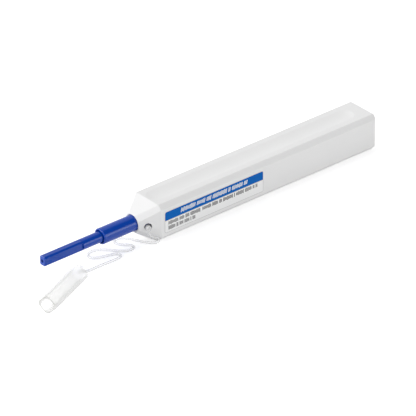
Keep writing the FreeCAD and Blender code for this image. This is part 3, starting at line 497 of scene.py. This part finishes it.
cord_width = 1.1 * MM
cord_points = [Vector(p) * MM for p in (
    (-37.014, -6.841, 7.4), (-37.3, -7.55, 5.8), (-36.3, -8.1, 4.4), (-34.9, -8.45, 3.9),
    (-33.0, -9.05, 3.1), (-33.2, -8.5, 0.85), (-35.4, -6.6, 0.57), (-38.0, -2.6, 0.57),
    (-40.3, 2.6, 0.57), (-42.6, 5.1, 0.57), (-45.9, 5.1, 0.57), (-47.1, 2.6, 0.57),
    (-45.4, 0.0, 0.57), (-42.3, -2.9, 0.57), (-43.3, -5.4, 0.57), (-47.2, -5.2, 0.57),
    (-49.7, -2.9, 0.57), (-53.2, 1.5, 0.57), (-56.4, 4.0, 0.57), (-59.9, 4.1, 0.57),
    (-62.1, 2.3, 0.57), (-62.1, -0.1, 0.57), (-59.8, -1.6, 0.57), (-54.9, -2.9, 0.57),
    (-50.9, -4.4, 0.57), (-51.3, -7.1, 0.57), (-56.0, -7.4, 0.57), (-63.2, -7.0, 0.57),
    (-69.0, -7.3, 0.62), (-72.3, -8.6, 2.0), (-74.296, -9.251, 3.818), (-76.5, -10.2, 3.818))]
cord_curve = bpy.data.curves.new("tether_line", "CURVE")
cord_curve.dimensions = "3D"
cord_curve.bevel_depth = cord_width / 2
cord_curve.bevel_resolution = 6
cord_curve.resolution_u = 10
cord_curve.use_fill_caps = True
spline = cord_curve.splines.new("NURBS")
spline.points.add(len(cord_points) - 1)
for point, place in zip(spline.points, cord_points):
    point.co = (*place, 1.0)
spline.order_u = 3
spline.use_endpoint_u = True
tether = bpy.data.objects.new("tether", cord_curve)
bpy.context.scene.collection.objects.link(tether)
# Soft clear vinyl, drawn as a thin cord: a pale middle between two edges of painted grey shade. The knot is
# the same vinyl, thick enough to look milky, with lighter painted shade at its edges.
dress(tether, clear_plastic(
    "vinyl_clear_soft", "#FAFAFA", "#B4B4B2", roughness=0.2, body=0.25, rim_body=0.8, rim_range=(0.3, 0.95)))
dress(nodes["tether_knot"], clear_plastic(
    "vinyl_milky_knot", "#F6F6F6", "#C8C8C6", roughness=0.25, body=0.6, rim_body=0.9, rim_range=(0.3, 0.95)))
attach(tether, "case")
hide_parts("tether_cord")


# ---- Table ------------------------------------------------------------------------------------------
# A wide sheet of white card, matt, that also stands for the plain background. Rays from the camera,
# reflections and refractions see it whiter than its lit colour.

def white_card(name, colour, lift):
    """Matt white card, lifted towards white for the camera, for gloss and for what shows through."""
    finish, tree = new_finish(name)
    matt = add_node(tree, "ShaderNodeBsdfDiffuse", {"Color": linear(colour)})
    ray = add_node(tree, "ShaderNodeLightPath").outputs
    seen_or_mirrored = add_node(tree, "ShaderNodeMath", {
        0: ray["Is Camera Ray"], 1: ray["Is Glossy Ray"]}, operation="MAXIMUM")
    looked_at = add_node(tree, "ShaderNodeMath", {
        0: seen_or_mirrored.outputs[0], 1: ray["Is Transmission Ray"]}, operation="MAXIMUM")
    unlifted = add_node(tree, "ShaderNodeEmission", {"Strength": 0.0})
    lifted = add_node(tree, "ShaderNodeEmission", {"Strength": lift})
    extra = add_node(tree, "ShaderNodeMixShader", {
        0: looked_at.outputs[0], 1: unlifted.outputs[0], 2: lifted.outputs[0]})
    card = add_node(tree, "ShaderNodeAddShader", {0: matt.outputs[0], 1: extra.outputs[0]})
    close_finish(tree, card)
    return finish


table_mesh = bpy.data.meshes.new("table_top")
half_side = 6.0
table_mesh.from_pydata(
    [(x * half_side, y * half_side, 0) for x, y in ((-1, -1), (1, -1), (1, 1), (-1, 1))], [], [(0, 1, 2, 3)])
table = bpy.data.objects.new("table", table_mesh)
bpy.context.scene.collection.objects.link(table)
dress(table, white_card("card_white_matt", "#F2F2F2", lift=0.45))


# ---- Studio light -----------------------------------------------------------------------------------
# An even white surround, one wide lamp off the nose and a weaker, lower one that faces the label. The
# camera and clear plastic see plain white. Gloss sees it too, but for one dark gap overhead, which
# draws the dark line along polished round pieces.

studio = bpy.data.worlds.new("studio")
bpy.context.scene.world = studio
studio.use_nodes = True
studio_tree = studio.node_tree
studio_tree.nodes.clear()
surround_strength = 0.605
gap_towards = Vector((0.56, -0.42, 0.71)).normalized()
gap_outer = math.radians(37)
gap_inner = math.radians(13)
ray = add_node(studio_tree, "ShaderNodeLightPath").outputs
seen_through = add_node(studio_tree, "ShaderNodeMath", {
    0: ray["Is Camera Ray"], 1: ray["Is Transmission Ray"]}, operation="MAXIMUM")
surround = add_node(studio_tree, "ShaderNodeBackground", {
    "Color": linear("#FFFFFF"), "Strength": surround_strength})
backdrop = add_node(studio_tree, "ShaderNodeBackground", {"Color": linear("#FFFFFF"), "Strength": 1.0})
towards = add_node(studio_tree, "ShaderNodeTexCoord").outputs["Object"]
nearness = add_node(studio_tree, "ShaderNodeVectorMath", {
    0: towards, 1: gap_towards}, operation="DOT_PRODUCT")
gap = add_node(studio_tree, "ShaderNodeMapRange", {
    "Value": nearness.outputs["Value"], "From Min": math.cos(gap_outer), "From Max": math.cos(gap_inner),
    "To Min": 1.0, "To Max": 0.0}, interpolation_type="SMOOTHSTEP")
mirrored = add_node(studio_tree, "ShaderNodeBackground", {
    "Color": linear("#FFFFFF"), "Strength": gap.outputs[0]})
lit_or_mirrored = add_node(studio_tree, "ShaderNodeMixShader", {
    0: ray["Is Glossy Ray"], 1: surround.outputs[0], 2: mirrored.outputs[0]})
all_rays = add_node(studio_tree, "ShaderNodeMixShader", {
    0: seen_through.outputs[0], 1: lit_or_mirrored.outputs[0], 2: backdrop.outputs[0]})
add_node(studio_tree, "ShaderNodeOutputWorld", {"Surface": all_rays.outputs[0]})


def soft_lamp(name, towards, strength, spread):
    """A distant soft lamp; towards points from the pen to the lamp, and the spread is in degrees."""
    data = bpy.data.lights.new(name, "SUN")
    data.energy = strength
    data.angle = math.radians(spread)
    lamp = bpy.data.objects.new(name, data)
    lamp.rotation_euler = Vector(towards).to_track_quat("Z", "Y").to_euler()
    bpy.context.scene.collection.objects.link(lamp)


soft_lamp("lamp_off_nose", towards=(-0.74, 0.42, 0.48), strength=2.02, spread=50)
soft_lamp("lamp_at_label", towards=(0.58, -0.81, 0.07), strength=0.82, spread=34)


# ---- Camera -----------------------------------------------------------------------------------------
# A long lens two metres away, so the pen's long edges stay nearly parallel. It looks down 30 degrees
# over the nose's -Y side, onto the label, the top and the nozzle's flats.

view_from = Vector((-0.5619, -0.6577, 0.5018)).normalized()
view_right = Vector((0.7603, -0.6496, 0.0)).normalized()
view_up = view_from.cross(view_right)
aim = Vector((-4.77, -6.75, 5.73)) * MM
camera_distance = 2.0
camera_data = bpy.data.cameras.new("camera")
camera_data.lens = 416.8
camera_data.sensor_width = 36.0
camera_data.clip_start = 0.1
camera_data.clip_end = 100.0
camera = bpy.data.objects.new("camera", camera_data)
turn = Matrix((view_right, view_up, view_from)).transposed().to_4x4()
camera.matrix_world = Matrix.Translation(aim + view_from * camera_distance) @ turn
bpy.context.scene.collection.objects.link(camera)
bpy.context.scene.camera = camera
bpy.context.scene.view_settings.view_transform = "Standard"
